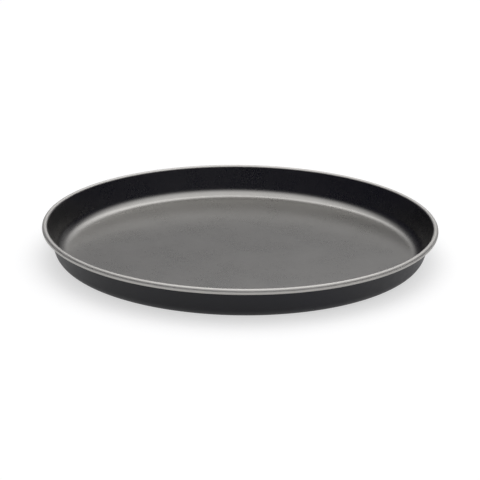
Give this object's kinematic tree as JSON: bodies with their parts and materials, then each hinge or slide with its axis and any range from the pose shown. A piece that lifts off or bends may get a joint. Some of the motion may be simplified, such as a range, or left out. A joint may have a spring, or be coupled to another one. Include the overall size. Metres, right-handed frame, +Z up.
{
  "type": "pizza pan",
  "caption": "Round shallow pizza pan with a flat floor, an outward-leaning wall and a rolled rim stiffened by a wire ring.",
  "frame": {"origin": "centre of the flat underside, on the surface that the pan stands on", "axes": "+Z up along the pan's axis of revolution, +X to the right and +Y to the back as seen in the picture"},
  "size_m": [0.3, 0.3, 0.025],
  "materials": {
    "coated_steel": "dark satin non-stick coating baked on carbon-steel sheet",
    "bare_wire": "drawn steel wire, uncoated"
  },
  "bodies": {
    "root": {"pan_shell": "coated_steel", "rim_wire": "bare_wire"}
  },
  "joints": []
}
